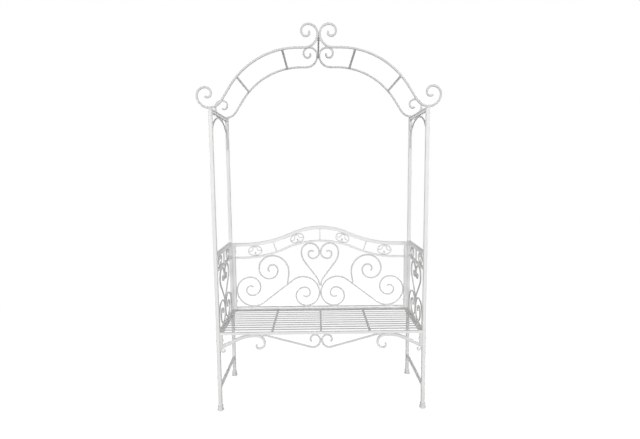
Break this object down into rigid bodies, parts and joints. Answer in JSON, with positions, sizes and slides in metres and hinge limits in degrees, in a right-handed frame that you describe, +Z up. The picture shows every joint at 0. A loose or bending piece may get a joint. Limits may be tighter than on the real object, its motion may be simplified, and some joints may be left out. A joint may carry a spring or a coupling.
{
  "type": "arbour seat",
  "caption": "Garden bench under a scrolled arch: slatted seat, scrollwork back and arms, square posts and flared feet.",
  "frame": {"origin": "on the ground, in the middle of the four feet", "axes": "+X along the seat, +Y to the back, +Z up; the open front faces -Y"},
  "size_m": [1.322, 0.4678, 2.1455],
  "materials": {
    "tube_paint": "satin powder coat",
    "bar_paint": "satin powder coat",
    "flat_paint": "satin powder coat",
    "trim_paint": "satin powder coat",
    "foot_paint": "satin powder coat, scuffed",
    "fastener": "zinc plated"
  },
  "bodies": {
    "root": {"post_front_left": "tube_paint", "post_front_right": "tube_paint", "post_rear_left": "tube_paint", "post_rear_right": "tube_paint", "top_bar_left": "tube_paint", "top_bar_right": "tube_paint", "arm_rail_left": "tube_paint", "arm_rail_right": "tube_paint", "band_rail_left": "tube_paint", "band_rail_right": "tube_paint", "seat_support_left": "tube_paint", "seat_support_right": "tube_paint", "stretcher_left": "tube_paint", "stretcher_right": "tube_paint", "seat_side_left": "tube_paint", "seat_side_right": "tube_paint", "back_stile_left": "tube_paint", "back_stile_right": "tube_paint", "seat_rail_front": "tube_paint", "seat_rail_rear": "tube_paint", "back_sill": "tube_paint", "back_top_rail": "tube_paint", "back_second_rail": "tube_paint", "hoop_front_left": "bar_paint", "hoop_front_right": "bar_paint", "hoop_rear_left": "bar_paint", "hoop_rear_right": "bar_paint", "side_arch_left": "bar_paint", "side_arch_right": "bar_paint", "side_heart_left": "bar_paint", "side_heart_right": "bar_paint", "side_scrolls_left": "bar_paint", "side_scrolls_right": "bar_paint", "apron_scroll_left": "bar_paint", "apron_scroll_right": "bar_paint", "back_double_scroll_left": "bar_paint", "back_double_scroll_right": "bar_paint", "back_upper_scroll_left": "bar_paint", "back_upper_scroll_right": "bar_paint", "back_heart": "bar_paint", "seat_slats": "flat_paint", "seat_bearers": "flat_paint", "arch_ties": "flat_paint", "base_plates": "flat_paint", "ridge_plates": "flat_paint", "back_dividers": "flat_paint", "corner_scroll_left": "flat_paint", "corner_scroll_right": "flat_paint", "tab_left": "flat_paint", "tab_right": "flat_paint", "back_rosettes": "trim_paint", "band_ornament_left": "trim_paint", "band_ornament_right": "trim_paint", "feet": "foot_paint", "back_bolts": "fastener", "seat_bolts": "fastener", "tab_bolts": "fastener", "base_bolts": "fastener", "ridge_bolts": "fastener"}
  },
  "joints": []
}
